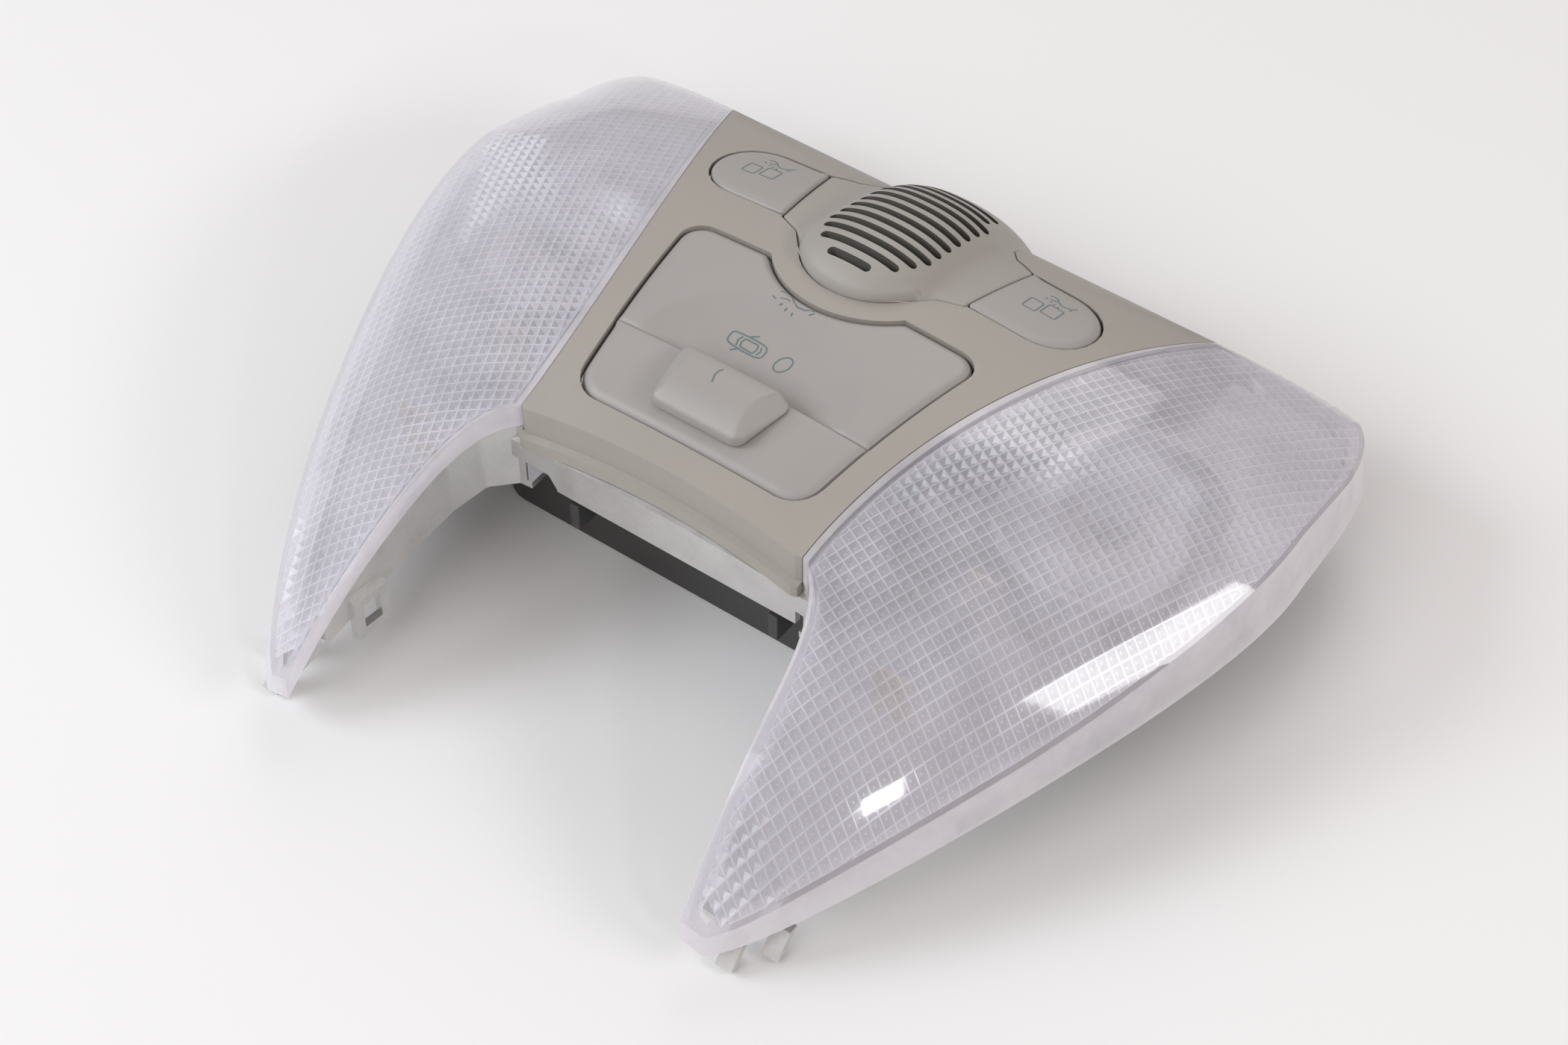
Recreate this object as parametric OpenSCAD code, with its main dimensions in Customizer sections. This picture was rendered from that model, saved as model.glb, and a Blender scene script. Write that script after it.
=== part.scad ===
// Car roof console with two interior lights, drawn face up. Units are millimetres.
// X runs across the console, Y from the lens tips to the rear, Z up from the seat.

/* [Face] */
// height of the crest of the face
crest_z = 51.4; // [49:0.2:54]
// distance of the crest behind the middle
crest_y = 11; // [8:0.5:14]
// radius of the face from front to rear
face_r = 137; // [130:1:150]
// radius of the crown from side to side
crown_r = 400; // [350:10:600]
// radius of the roll at the rear edge
roll_r = 41.5; // [36:0.5:44]

/* [Panel] */
// wall thickness of the panel and the trims in it
skin_t = 2.2; // [1.8:0.1:2.6]
// gap between the panel and the pieces set in it
trim_gap = 0.3; // [0.2:0.05:0.4]
// depth of the panel's front wall under the face
front_wall_h = 8.2; // [7.4:0.2:9]
// how far the lip at the foot of the front wall stands out
front_lip = 1.3; // [0.8:0.1:1.6]
// height of the lower edge of the housing's front wall
front_low_z = 28.4; // [27.6:0.2:29.6]

/* [Lens] */
// wall thickness of a lens
lens_t = 2; // [1.6:0.1:2.4]
// depth of the clear flange on the inside of a wing
flange_h = 5; // [4:0.5:6]
// height of the lens rim at the top of its arch
rim_z = 19.5; // [18.5:0.5:21]
// outward draft of the lens skirt
skirt_draft = 1.2; // [0.6:0.1:1.6]

/* [Controls] */
// height of the slide knob over the face
knob_h = 4.6; // [3.6:0.2:5.2]
// sideways travel of the slide knob
knob_travel = 7.3; // [6:0.1:8]
// press travel of a button
button_travel = 1.6; // [1:0.1:2]
// height of the speaker grille over the face
grille_h = 4.5; // [3.5:0.25:5.5]
// width of a grille slot
slot_w = 1.6; // [1:0.1:1.8]
// number of grille slots
slot_n = 12; // [10:1:12]

/* [Back] */
// height of the black base tray
base_h = 21; // [19:0.5:22]
// wall thickness of the base tray
base_t = 2; // [1.6:0.1:2.4]
// half width of the base tray
base_x = 50; // [48:1:52]
// wall thickness of the reflector housing
house_t = 1.5; // [1.2:0.1:1.8]
// shaft radius of a housing screw
screw_r = 1.5; // [1.2:0.1:1.7]
// radius of a hole for the roof screws
roof_hole_r = 2.25; // [2:0.25:2.75]

/* [Hidden] */
$fn = 64;
rear_y = 79;
house_z = base_h + 3;
panel_foot_z = rim_z - 6;
tip_y = -78.6;
axis_z = crest_z - face_r;
roll_y = rear_y - roll_r;
roll_sin = (roll_y - crest_y) / (face_r - roll_r);
roll_z = axis_z + (face_r - roll_r) * sqrt(1 - roll_sin * roll_sin);
arch_r = 338;
arch_y = 20;
notch_y = -26.6;
notch_x = 30.2;
grille_y = 37.2;
grille_r = 13.6;
nose_r = grille_r + 0.4;
lens_rows = 38;
wing_rows = 12;
side_rows = 26;
corner_rows = 36;
lens_cols = 12;
board_z = 33;
board_t = 1.6;
knob_x = -0.5;
screw_pts = [[40, -4], [43, 64]];
spot_x = 62;
spot_y = 22;
festoon_x = 52;
festoon_y = -17;
festoon_z = 30.5;
festoon_r = 4.2;
festoon_len = 26;

// Heights and curves shared by the pieces.
function crown_rad(x, off) = face_r - x * x / (2 * crown_r) - off;
function barrel_z(x, y, off) = axis_z
    + sqrt(max(0, pow(crown_rad(x, off), 2) - pow(y - crest_y, 2)));
function roll_edge_z(y, off) = roll_z + sqrt(max(0, pow(roll_r - off, 2) - pow(y - roll_y, 2)));
function tangent_y(off) = crest_y + (face_r - off) * roll_sin;
function face_z(x, y, off = 0) = y < tangent_y(off) ? barrel_z(x, y, off)
    : min(barrel_z(x, y, off), roll_edge_z(y, off));
function seam_x(y) = notch_x + 29.4 * pow(max(0, (y - notch_y) / 105.6), 1.6);
function arch_z(y) = rim_z - pow(y - arch_y, 2) / (2 * arch_r);
function droop(y) = max(0.001, min(0.0085, 0.0035 - 0.00007 * y));
function mix(a, b, t) = a + (b - a) * t;
function bez(p, t) = pow(1 - t, 3) * p[0] + 3 * pow(1 - t, 2) * t * p[1]
    + 3 * (1 - t) * t * t * p[2] + pow(t, 3) * p[3];
function unit(v) = v / norm(v);

// Inner edge of a lens: along the wing, round the notch corner and up the seam.
function inner_edge(k) = k < 6 ? mix([43.4, tip_y], [39.4, -46], k / 6)
    : k < wing_rows ? bez([[39.4, -46], [38, -35], [34.8, -29], [notch_x, notch_y - 0.3]],
        (k - 6) / (wing_rows - 6))
    : let (y = mix(notch_y, rear_y - 5, (k - wing_rows) / (lens_rows - wing_rows)))
        [seam_x(y) + trim_gap / 2, y];
// Outer edge of the prism field of a lens: tip, side, rear corner and rear edge.
function outer_edge(k) = k < side_rows
    ? bez([[47.4, -77.8], [58, -71.5], [94.4, 3], [90.4, 38]], pow(k / side_rows, 0.85))
    : k < corner_rows ? bez([[90.4, 38], [88.6, 68], [88, 77.3], [66, 77.3]],
        (k - side_rows) / (corner_rows - side_rows))
    : mix([66, 77.3], [seam_x(77.4) + 2.4, 77.4], (k - corner_rows) / (lens_rows - corner_rows));
function lens_z(x, y, d) = face_z(x, y) - droop(y) * pow(max(0, x - seam_x(y)), 2)
    - 0.009 * pow(max(0, 20 - d), 2);
function rear_ease(k) = 20 * min(1, max(0, (k - 29) / 5));
function lens_span(k) = norm(outer_edge(k) - inner_edge(k));
function across(k) = unit(outer_edge(k) - inner_edge(k));
function edge_step(k) = outer_edge(min(lens_rows, k + 0.4)) - outer_edge(max(0, k - 0.4));
function outward(k) = let (v = unit(edge_step(k))) [v[1], -v[0]];

// One cross row of a lens, from the flange's foot over the top and down to the rim.
function lens_top(k, t, drop) = let (p = mix(inner_edge(k), outer_edge(k), t))
    [p[0], p[1], lens_z(p[0], p[1], (1 - t) * lens_span(k) + rear_ease(k)) - drop];
function wing_flange(k) = k < wing_rows ? flange_h : mix(flange_h, 3, min(1, k - wing_rows));
function normal(x, y) = unit([face_z(x - 0.5, y) - face_z(x + 0.5, y),
    face_z(x, y - 0.5) - face_z(x, y + 0.5), 1]);
function row_out(k) = let (a = lens_top(k, 0, 0), c = lens_top(k, 1, 0), n = outward(k))
    concat([a - wing_flange(k) * (k < wing_rows ? [0, 0, 1] : [0, normal(a[0], a[1])[1], normal(a[0], a[1])[2]])],
        [for (j = [0:lens_cols]) lens_top(k, 1 - pow(1 - j / lens_cols, 1.2), 0)],
        [[c[0] + n[0] * skirt_draft / 2, c[1] + n[1] * skirt_draft / 2,
            (c[2] + arch_z(c[1])) / 2],
         [c[0] + n[0] * skirt_draft, c[1] + n[1] * skirt_draft, arch_z(c[1])]]);
function row_in(k) = let (o = row_out(k), u = across(k), w = lens_span(k), m = lens_cols,
        f = min(1.1, 0.27 * w), s = min(lens_t, 0.3 * w), n = outward(k),
        low = min(lens_t, 0.3 * (o[m + 1][2] - o[m + 3][2])))
    [for (j = [0:m + 3]) j == 0 ? [o[0][0] + u[0] * f, o[0][1] + u[1] * f, o[0][2]]
        : j <= m + 1 ? let (q = mix(f, w - s, 1 - pow(1 - (j - 1) / m, 1.2)),
            p = inner_edge(k) + u * q)
            [p[0], p[1], lens_z(p[0], p[1], w - q + rear_ease(k))] - mix(lens_t, low, (j - 1) / m) * normal(p[0], p[1])
        : let (d = j == m + 2 ? skirt_draft / 2 : skirt_draft, c = outer_edge(k) + n * d - u * s)
            [c[0], c[1], j == m + 3 ? o[m + 3][2] : (o[m + 1][2] - low + o[m + 3][2]) / 2]];
function row_pos(i, inset) = min(lens_rows - inset, max(inset, i));

// Corner-rounded outline. Each corner is [x, y, radius].
function corner_arc(a, b, c) = let (u = unit([a[0] - b[0], a[1] - b[1]]),
        v = unit([c[0] - b[0], c[1] - b[1]]), half = acos(u * v) / 2,
        o = [b[0], b[1]] + unit(u + v) * b[2] / sin(half),
        p = [b[0], b[1]] + u * b[2] / tan(half), q = [b[0], b[1]] + v * b[2] / tan(half),
        s = atan2(p[1] - o[1], p[0] - o[0]), e = atan2(q[1] - o[1], q[0] - o[0]),
        turn = e - s > 180 ? e - s - 360 : e - s < -180 ? e - s + 360 : e - s)
    [for (i = [0:6]) o + b[2] * [cos(s + turn * i / 6), sin(s + turn * i / 6)]];
function rounded(c) = [for (i = [0:len(c) - 1])
    each (c[i][2] == 0 ? [[c[i][0], c[i][1]]]
        : corner_arc(c[(i + len(c) - 1) % len(c)], c[i], c[(i + 1) % len(c)]))];

// Solid under the face, or under a surface a given depth below it.
module barrel(off) {
    translate([0, crest_y, axis_z]) rotate([0, 90, 0]) rotate_extrude($fn = 180)
        polygon(concat([[0, -96]], [for (x = [-96:8:96]) [crown_rad(x, off), x]], [[0, 96]]));
}
module face_solid(off) {
    intersection() {
        barrel(off);
        union() {
            translate([-100, -100, -10]) cube([200, 100 + tangent_y(off), 80]);
            translate([-100, roll_y, roll_z]) rotate([0, 90, 0])
                cylinder(r = roll_r - off, h = 200, $fn = 120);
            translate([-100, 0, -10]) cube([200, rear_y - off, roll_z + 10]);
        }
    }
}
module skin(t = skin_t) {
    difference() {
        face_solid(0);
        face_solid(t);
    }
}
// Upright block of an outline, tall enough to meet any surface.
module block(pts, z0 = -5, z1 = 70) {
    translate([0, 0, z0]) linear_extrude(z1 - z0) polygon(pts);
}
module both_sides() {
    children();
    mirror([1, 0, 0]) children();
}

// Outlines of the pieces set in the panel.
panel_side = [for (i = [0:16]) let (y = mix(notch_y, rear_y + 1, i / 16))
    [seam_x(y) - trim_gap / 2, y]];
panel_front = [for (i = [-8:8]) [i * 3.6, -25.3 - i * i * 0.026]];
function flip(p) = [for (i = [len(p) - 1:-1:0]) [-p[i][0], p[i][1]]];
panel_pts = concat(panel_front, panel_side, flip(panel_side));
function plate_pts(g) = rounded([[27.2 + g, -3.4 - g, 0], [32 + g, 25.2 + g, 4.5],
    [-32 - g, 25.2 + g, 4.5], [-27.2 - g, -3.4 - g, 0]]);
function band_pts(g) = rounded([[27.2 + g, -3.4 + g, 0], [-27.2 - g, -3.4 + g, 0],
    [-24.6 - g, -19.6 - g, 6.5], [24.6 + g, -19.6 - g, 6.5]]);
function button_pts(g) = rounded([[20.3 - g, 36.7 - g, 0.8], [41.4 + g, 36.7 - g, 9],
    [41.4 + g, 54.9 + g, 9], [22.8 - g, 54.9 + g, 0.8]]);
function grille_pts(g) = concat([for (a = [-52:8:52])
    [(grille_r + g) * sin(a), grille_y - (grille_r + g) * cos(a)]],
    [[15.4, 34.2 - g], [20 + g, 36.4 - g], [22.5 + g, 55.2], [17.6, 57.2 + g], [14.8 + g, 60.6],
     [14 + g, 64], [13.8 + g, 77.6], [-13.8 - g, 77.6], [-14 - g, 64], [-14.8 - g, 60.6],
     [-17.6, 57.2 + g], [-22.5 - g, 55.2], [-20 - g, 36.4 - g], [-15.4, 34.2 - g]]);

// Beige panel between the lenses, with its front wall.
module front_panel() {
    color([0.66, 0.64, 0.6]) difference() {
        union() {
            intersection() {
                skin();
                block(panel_pts, panel_foot_z);
            }
            intersection() {
                difference() {
                    face_solid(0.5);
                    face_solid(front_wall_h);
                }
                difference() {
                    block(panel_pts, 20);
                    translate([0, skin_t, 0]) block(panel_pts);
                }
                translate([-40, -40, 0]) cube([80, 20, 60]);
            }
            intersection() {
                difference() {
                    face_solid(front_wall_h - 2.4);
                    face_solid(front_wall_h);
                }
                difference() {
                    translate([0, -front_lip, 0]) block(panel_pts, 20);
                    translate([0, 1, 0]) block(panel_pts);
                }
                translate([-40, -40, 0]) cube([80, 20, 60]);
            }
            for (s = [-1, 1]) translate([s * 27.8, -20, house_z + house_t])
                cylinder(r = 2, h = 43 - house_z);
            for (s = [-1, 1]) translate([s * 50, 64, house_z + house_t])
                cylinder(r = 2, h = 34.5 - house_z);
        }
        difference() {
            block(plate_pts(trim_gap), -3.2);
            translate([0, grille_y, -10]) cylinder(r = 19 - trim_gap, h = 90);
        }
        block(band_pts(trim_gap));
        translate([-27.5, -3.8, 30]) cube([55, 0.8, 40]);
        both_sides() block(button_pts(trim_gap));
        block(grille_pts(trim_gap), 26.5 - trim_gap);
    }
}

// Trim plate with its dished half moon.
module switch_plate() {
    color([0.63, 0.63, 0.61]) difference() {
        intersection() {
            union() {
                skin();
                intersection() {
                    face_solid(skin_t - 0.4);
                    translate([-26, -2.6, 43]) cube([52, 1.6, 9]);
                }
                intersection() {
                    difference() {
                        face_solid(skin_t - 0.4);
                        face_solid(skin_t + 1.5);
                    }
                    translate([-0.5, -1.5, 30]) cylinder(r = 27, h = 30);
                    translate([-30, -2.6, 30]) cube([60, 40, 30]);
                }
            }
            difference() {
                block(plate_pts(0));
                translate([0, grille_y, -10]) cylinder(r = 19, h = 90);
            }
        }
        translate([-0.5, -1.5, crest_z - 0.6 - 2.3]) rotate([5.2, 0, 0]) translate([0, 0, 150])
            sphere(r = 150, $fn = 200);
    }
    color([0.63, 0.63, 0.61]) for (s = [-1, 1]) translate([s * 24 - 1.5, 8, board_z + board_t])
        cube([3, 3, 49 - skin_t - board_z - board_t]);
}

// Lower trim with the slot of the slide knob.
module slider_track() {
    stem = 6 + knob_travel;
    color([0.63, 0.63, 0.61]) difference() {
        intersection() {
            skin();
            block(band_pts(0));
        }
        translate([knob_x - 3, -11.2, 30]) cube([stem, 3.2, 40]);
        translate([knob_x - 8, -5.2, 30]) cube([16 + knob_travel, 4, 40]);
    }
    color([0.63, 0.63, 0.61]) for (s = [-1, 1]) translate([s * 22 - 1.5, -9, board_z + board_t])
        cube([3, 3, 48 - skin_t - board_z - board_t]);
}

// Slide knob with its stem.
module slide_knob() {
    knob = rounded([[knob_x + 12.4, -3.9, 1], [knob_x - 12.4, -3.9, 1],
        [knob_x - 9.4, -16.4, 2.5], [knob_x + 9.4, -16.4, 2.5]]);
    color([0.66, 0.66, 0.64]) difference() {
        intersection() {
            block(knob);
            face_solid(-knob_h);
            translate([-40, -8.4, crest_z + knob_h - 14.6]) rotate([0, 90, 0])
                cylinder(r = 12.6, h = 80, $fn = 96);
        }
        face_solid(-0.25);
        for (s = [-1, 1]) translate([knob_x + s * 9.2, 0, crest_z + knob_h - 1.2])
            rotate([0, -s * 42, -s * 12]) translate([s > 0 ? 0 : -20, -30, -14]) cube([20, 40, 40]);
    }
    color([0.66, 0.66, 0.64]) translate([knob_x - 2.4, -10.8, board_z + 7])
        cube([4.8, 2.4, crest_z - 0.2 - board_z - 7]);
}

// Push button with its skirt and stem, drawn on the right.
module button() {
    intersection() {
        difference() {
            face_solid(-0.5);
            difference() {
                face_solid(skin_t);
                block(rounded([[28.6, 42, 0], [34.6, 42, 0], [34.6, 48, 0], [28.6, 48, 0]]));
            }
        }
        union() {
            difference() {
                block(button_pts(0), board_z + 9);
                block(button_pts(-1.4), board_z);
            }
            block(button_pts(0), 40);
        }
    }
    translate([31.6, 45, board_z + 6.4]) cylinder(r = 2.6, h = 5.8);
}
module button_right() {
    color([0.64, 0.64, 0.62]) button();
}
module button_left() {
    color([0.64, 0.64, 0.62]) mirror([1, 0, 0]) button();
}

// Raised speaker grille with its saddle between the buttons.
module ridge(off) {
    intersection() {
        translate([0, crest_y, axis_z]) rotate([0, 90, 0]) rotate_extrude($fn = 180)
            polygon(concat([[0, -15]],
                [for (x = [-15:1.5:15]) [face_r + grille_h - off - x * x / 38, x]], [[0, 15]]));
        translate([-20, -off * 0.7, -off * 0.7]) rotate([90, 0, 90]) linear_extrude(40)
            polygon([[0, -10], [74.9, -10], [74.7, 25.9], [71.9, 32.1], [68, 37.7], [62.6, 42.7],
                [56.6, 47], [49.4, 50.4], [42, 53], [0, 70]]);
        union() {
            translate([0, grille_y, 20]) rotate_extrude() polygon([[0, 0], [nose_r - off, 0],
                [nose_r - off, 30.4 - off], [nose_r - 1.1 - off, 31.9 - off],
                [nose_r - 3 - off, 33.2 - off], [8 - off, 34.4 - off], [4, 35.2 - off],
                [0, 35.5 - off]]);
            translate([-20, grille_y, -10]) cube([40, 60, 90]);
        }
    }
}
module grille_cover() {
    color([0.64, 0.63, 0.6]) difference() {
        intersection() {
            union() {
                face_solid(0);
                ridge(0);
            }
            block(grille_pts(0), 26.5);
        }
        face_solid(skin_t);
        ridge(skin_t);
        for (i = [0:slot_n - 1]) {
            len = i == 0 ? 4.6 : i == 1 ? 8.4 : i == 2 ? 10 : i > 9 ? 9.2 : 11;
            translate([0, crest_y, axis_z]) rotate([-7.5 - 1.37 * i, 0, 0])
                translate([0, 0, face_r - 8]) linear_extrude(20) polygon([for (s = [1, -1],
                    a = [-75:30:75]) s * [len - slot_w / 2 * (1 - cos(a)), slot_w / 2 * sin(a)]]);
        }
    }
}

// Lens shell from rows of points: outer skin, inner skin, end walls and foot strips.
module lens_shell() {
    m = lens_cols + 4;
    n = lens_rows + 1;
    pts = concat([for (i = [0:lens_rows]) each row_out(i)],
        [for (i = [0:lens_rows]) each row_in(row_pos(i, i < 9 ? 0.45 : 0.8))]);
    h = n * m;
    polyhedron(points = pts, faces = concat(
        [for (i = [0:n - 2], j = [0:m - 2]) each [
            [i * m + j, (i + 1) * m + j, i * m + j + 1],
            [i * m + j + 1, (i + 1) * m + j, (i + 1) * m + j + 1]]],
        [for (i = [0:n - 2], j = [0:m - 2]) each [
            [h + i * m + j, h + i * m + j + 1, h + (i + 1) * m + j],
            [h + i * m + j + 1, h + (i + 1) * m + j + 1, h + (i + 1) * m + j]]],
        [for (i = [0:n - 2]) each [
            [i * m, h + i * m, (i + 1) * m], [h + i * m, h + (i + 1) * m, (i + 1) * m],
            [i * m + m - 1, (i + 1) * m + m - 1, h + i * m + m - 1],
            [h + i * m + m - 1, (i + 1) * m + m - 1, h + (i + 1) * m + m - 1]]],
        [for (j = [0:m / 2 - 2]) each [
            [j, j + 1, m - 1 - j], [j + 1, m - 2 - j, m - 1 - j],
            [h + j, h + m - 1 - j, h + j + 1], [h + j + 1, h + m - 1 - j, h + m - 2 - j]]],
        [[0, m - 1, h], [h, m - 1, h + m - 1]],
        let (a = (n - 1) * m, b = h + (n - 1) * m)
        concat([for (j = [0:m / 2 - 2]) each [
            [a + j, a + m - 1 - j, a + j + 1], [a + j + 1, a + m - 1 - j, a + m - 2 - j],
            [b + j, b + j + 1, b + m - 1 - j], [b + j + 1, b + m - 2 - j, b + m - 1 - j]]],
            [[a, b, a + m - 1], [b, b + m - 1, a + m - 1]])), convexity = 6);
}
module lens_right() {
    color([0.85, 0.85, 0.92, 0.6]) lens_shell();
}
module lens_left() {
    color([0.85, 0.85, 0.92, 0.6]) mirror([1, 0, 0]) lens_shell();
}

// Outline of the reflector housing, a set distance inside the lenses.
function house_side(g) = [for (k = [0:2:lens_rows]) outer_edge(k)
    - outward(k) * min(g, 0.3 * lens_span(k) + 0.3)];
function house_wing(g) = [for (k = [wing_rows:-2:0]) inner_edge(k)
    + across(k) * min(g, 0.3 * lens_span(k))];
function house_pts(a, b) = concat([for (i = [-3:3]) [i * 7, notch_y - 1 + b]],
    house_wing(b), house_side(a), flip(house_side(a)), flip(house_wing(b)));
// Space above the underside: flat in the middle, sloping down to the wings.
module above_floor(up) {
    translate([-100, -100, house_z + up]) cube([200, 200, 60]);
    both_sides() intersection() {
        translate([notch_x, notch_y, house_z + 2.8 + up]) rotate([18, 11.9, 0])
            translate([-200, -200, 0]) cube([400, 400, 100]);
        translate([0, -100, -10]) cube([100, 200, 80]);
    }
}
module snap_loop() {
    translate([41.3, -62, 7.5]) rotate([0, 0, 6]) difference() {
        cube([1.6, 8, 9.5]);
        translate([-1, 2, 2]) cube([4, 4, 5.6]);
    }
}
// Tongue of a wing tip, leaning to the front.
module prong(x, y) {
    translate([x, y, 0.7]) rotate([-41, 0, 0]) translate([-1.7, -0.75, 0]) cube([3.4, 1.5, 12.5]);
}
// Zones of the housing walls, on the right.
inner_zone = [[30.4, -25.4], [50, -25.4], [45.8, -68], [30.4, -68]];
outer_zone = [[0, 40], [50, -25.4], [45.8, -68], [100, -68], [100, 75], [0, 75]];
side_zone = [[base_x + 1, -64], [100, -64], [100, 70], [base_x + 1, 70]];
module under_slope() {
    translate([-100, 0, 25.8]) rotate([atan(0.2), 0, 0])
        translate([0, -120, -60]) cube([200, 240, 60]);
}
module wall_ring() {
    difference() {
        block(house_pts(3.4, 1.6), -1, 60);
        block(house_pts(3.4 + house_t, 1.6 + house_t), -2, 61);
    }
}
module reflector_housing() {
    color([0.8, 0.8, 0.8]) difference() {
        union() {
            intersection() {
                wall_ring();
                face_solid(skin_t + 2.2);
                above_floor(0);
                both_sides() block(inner_zone, -1, 39);
            }
            intersection() {
                wall_ring();
                face_solid(skin_t + 2.2);
                above_floor(0);
                both_sides() block(outer_zone, -1, 26);
                under_slope();
            }
            intersection() {
                block(house_pts(3.6, 1.8), -1, 60);
                face_solid(skin_t + 2.2);
                difference() {
                    above_floor(0);
                    above_floor(house_t);
                }
                translate([-100, -73.5, -5]) cube([200, 148, 70]);
            }
            difference() {
                intersection() {
                    translate([-32.6, notch_y - 0.9, front_low_z]) cube([65.2, house_t, 20]);
                    face_solid(front_wall_h + 0.2);
                }
                translate([0, notch_y + 2, 0]) rotate([90, 0, 0]) linear_extrude(4) {
                    polygon(rounded([[-33, 20, 0], [-22.6, 20, 0], [-22.6, 28.8, 0],
                        [-24.4, 31.6, 1.2], [-33, 31.6, 0]]));
                    polygon([[29.4, 20], [33, 20], [33, 31.6], [29.4, 31.6]]);
                }
            }
            intersection() {
                wall_ring();
                both_sides() block(side_zone);
                under_slope();
                difference() {
                    translate([-100, -100, 0]) cube([200, 200, house_z + 1.4]);
                    arch_roll(0);
                }
            }
            intersection() {
                difference() {
                    arch_roll(-1.1);
                    arch_roll(0);
                }
                difference() {
                    block(house_pts(1.6, 1.8), -1, 60);
                    block(house_pts(3.4 + house_t, 1.8 + house_t), -2, 61);
                }
                both_sides() block(side_zone);
            }
            both_sides() {
                intersection() {
                    translate([spot_x, spot_y, 0]) rotate_extrude($fn = 96) polygon([[9, 24],
                        [14, 26], [18.6, 30], [20.5, 33.4], [22, 33.4], [19.8, 29.2], [15, 24.4], [9, 22.4]]);
                    face_solid(skin_t + 2.4);
                    block([[43.2, -20], [78, -20], [78, 60], [52, 60], [46.5, 40], [42.8, 20]]);
                }
                intersection() {
                    snap_loop();
                    face_solid(3);
                }
                intersection() {
                    union() {
                        prong(50.4, -76);
                        prong(55.3, -69.7);
                    }
                    union() {
                        block(house_pts(2.6, 1.6), 0, 60);
                        translate([0, -100, 0]) cube([100, 60, 5.4]);
                    }
                }
                for (p = screw_pts) translate([p[0], p[1], base_h]) cylinder(r = 3.4, h = 6);
                for (p = [[29.5, 12], [35, 52]]) translate([p[0], p[1], house_z])
                    cylinder(r = 2.2, h = board_z - house_z);
            }
        }
        both_sides() {
            translate([spot_x, spot_y, 20]) cylinder(r = 7.2, h = 8);
            for (p = screw_pts) translate([p[0], p[1], base_h - 1]) cylinder(r = screw_r, h = 6.2);
        }
        translate([-26, -14, 10]) cube([52, 72, 40]);
        translate([-29.4, -40, house_z - 1]) cube([58.8, 40 - 22.3, 3.2]);
    }
}

// Black base tray with its side flanges and screw holes.
base_y = roll_y + sqrt(pow(roll_r - skin_t - 1, 2) - pow(base_h - roll_z, 2));
function base_pts(g) = rounded([[-base_x + g, -13 + g, 6 - g], [base_x - g, -13 + g, 6 - g],
    [base_x - g, base_y - g, 12 - g], [-base_x + g, base_y - g, 12 - g]]);
module arch_roll(off) {
    translate([-100, arch_y, rim_z - arch_r]) rotate([0, 90, 0])
        cylinder(r = arch_r - off, h = 200, $fn = 360);
}
module rear_base() {
    color([0.09, 0.09, 0.1]) difference() {
        union() {
            difference() {
                block(base_pts(0), 0, base_h);
                block(base_pts(base_t), base_t, base_h + 1);
            }
            intersection() {
                difference() {
                    arch_roll(0.1);
                    arch_roll(2);
                }
                both_sides() block(concat([[base_x - 1, -9]], [for (k = [10:2:34]) outer_edge(k)
                    - outward(k) * 0.4], [[base_x - 1, 70]]), 5, 30);
            }
            for (s = [-1, 1]) translate([s * 22 - 1, -24, 16]) cube([2, 14, 6]);
            for (s = [-1, 1], p = screw_pts) translate([s * p[0], p[1], 0])
                cylinder(r = 4.8, h = base_h);
        }
        for (s = [-1, 1], p = screw_pts) translate([s * p[0], p[1], -1]) {
            cylinder(r = screw_r + 0.2, h = base_h + 3);
            cylinder(r = 3.4, h = 4);
        }
        for (s = [-1, 1]) translate([s * 34, 30, -1]) cylinder(r = roof_hole_r, h = base_t + 2);
        translate([-12.5, 43.5, -1]) cube([25, 14, base_t + 2]);
    }
}

// Circuit board on the posts of the housing.
board_pts = [[-27, -14], [27, -14], [40, 38], [40, 56], [-40, 56], [-40, 38]];
module circuit_board() {
    color([0.1, 0.36, 0.2]) translate([0, 0, board_z]) linear_extrude(board_t) polygon(board_pts);
}
module slide_switch() {
    color([0.15, 0.15, 0.16]) translate([knob_x + knob_travel / 2 - 10, -12.6, board_z + board_t])
        difference() {
            cube([20, 6, 5]);
            translate([4, 2, 3.6]) cube([12, 2, 3]);
        }
}
module push_switch(s) {
    translate([s * 31.6, 45, board_z + board_t]) {
        translate([-4.5, -4.5, 0]) cube([9, 9, 2.2]);
        cylinder(r = 1.8, h = 3);
    }
}
module push_switch_left() {
    color([0.12, 0.12, 0.13]) push_switch(-1);
}
module push_switch_right() {
    color([0.12, 0.12, 0.13]) push_switch(1);
}
module microphone_capsule() {
    color([0.3, 0.3, 0.32]) translate([0, 44, board_z + board_t]) difference() {
        cylinder(r = 4.8, h = 6);
        translate([0, 0, 5.2]) cylinder(r = 3.6, h = 2);
    }
}

// Connector tower under the board, open to the roof side, with its pins.
module connector_socket() {
    color([0.14, 0.14, 0.15]) difference() {
        translate([-12, 44, 0.4]) cube([24, 13, board_z - 0.4]);
        translate([-10, 46, -1]) cube([20, 9, 12]);
        for (i = [-2.5:2.5], j = [-1, 1]) translate([i * 3 - 0.32, 50.5 + j * 2 - 0.32, 9])
            cube([0.64, 0.64, board_z]);
    }
}
module connector_pins() {
    color([0.8, 0.68, 0.36]) for (i = [-2.5:2.5], j = [-1, 1])
        translate([i * 3 - 0.32, 50.5 + j * 2 - 0.32, 5.6]) cube([0.64, 0.64, board_z - 5.6]);
}

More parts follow.
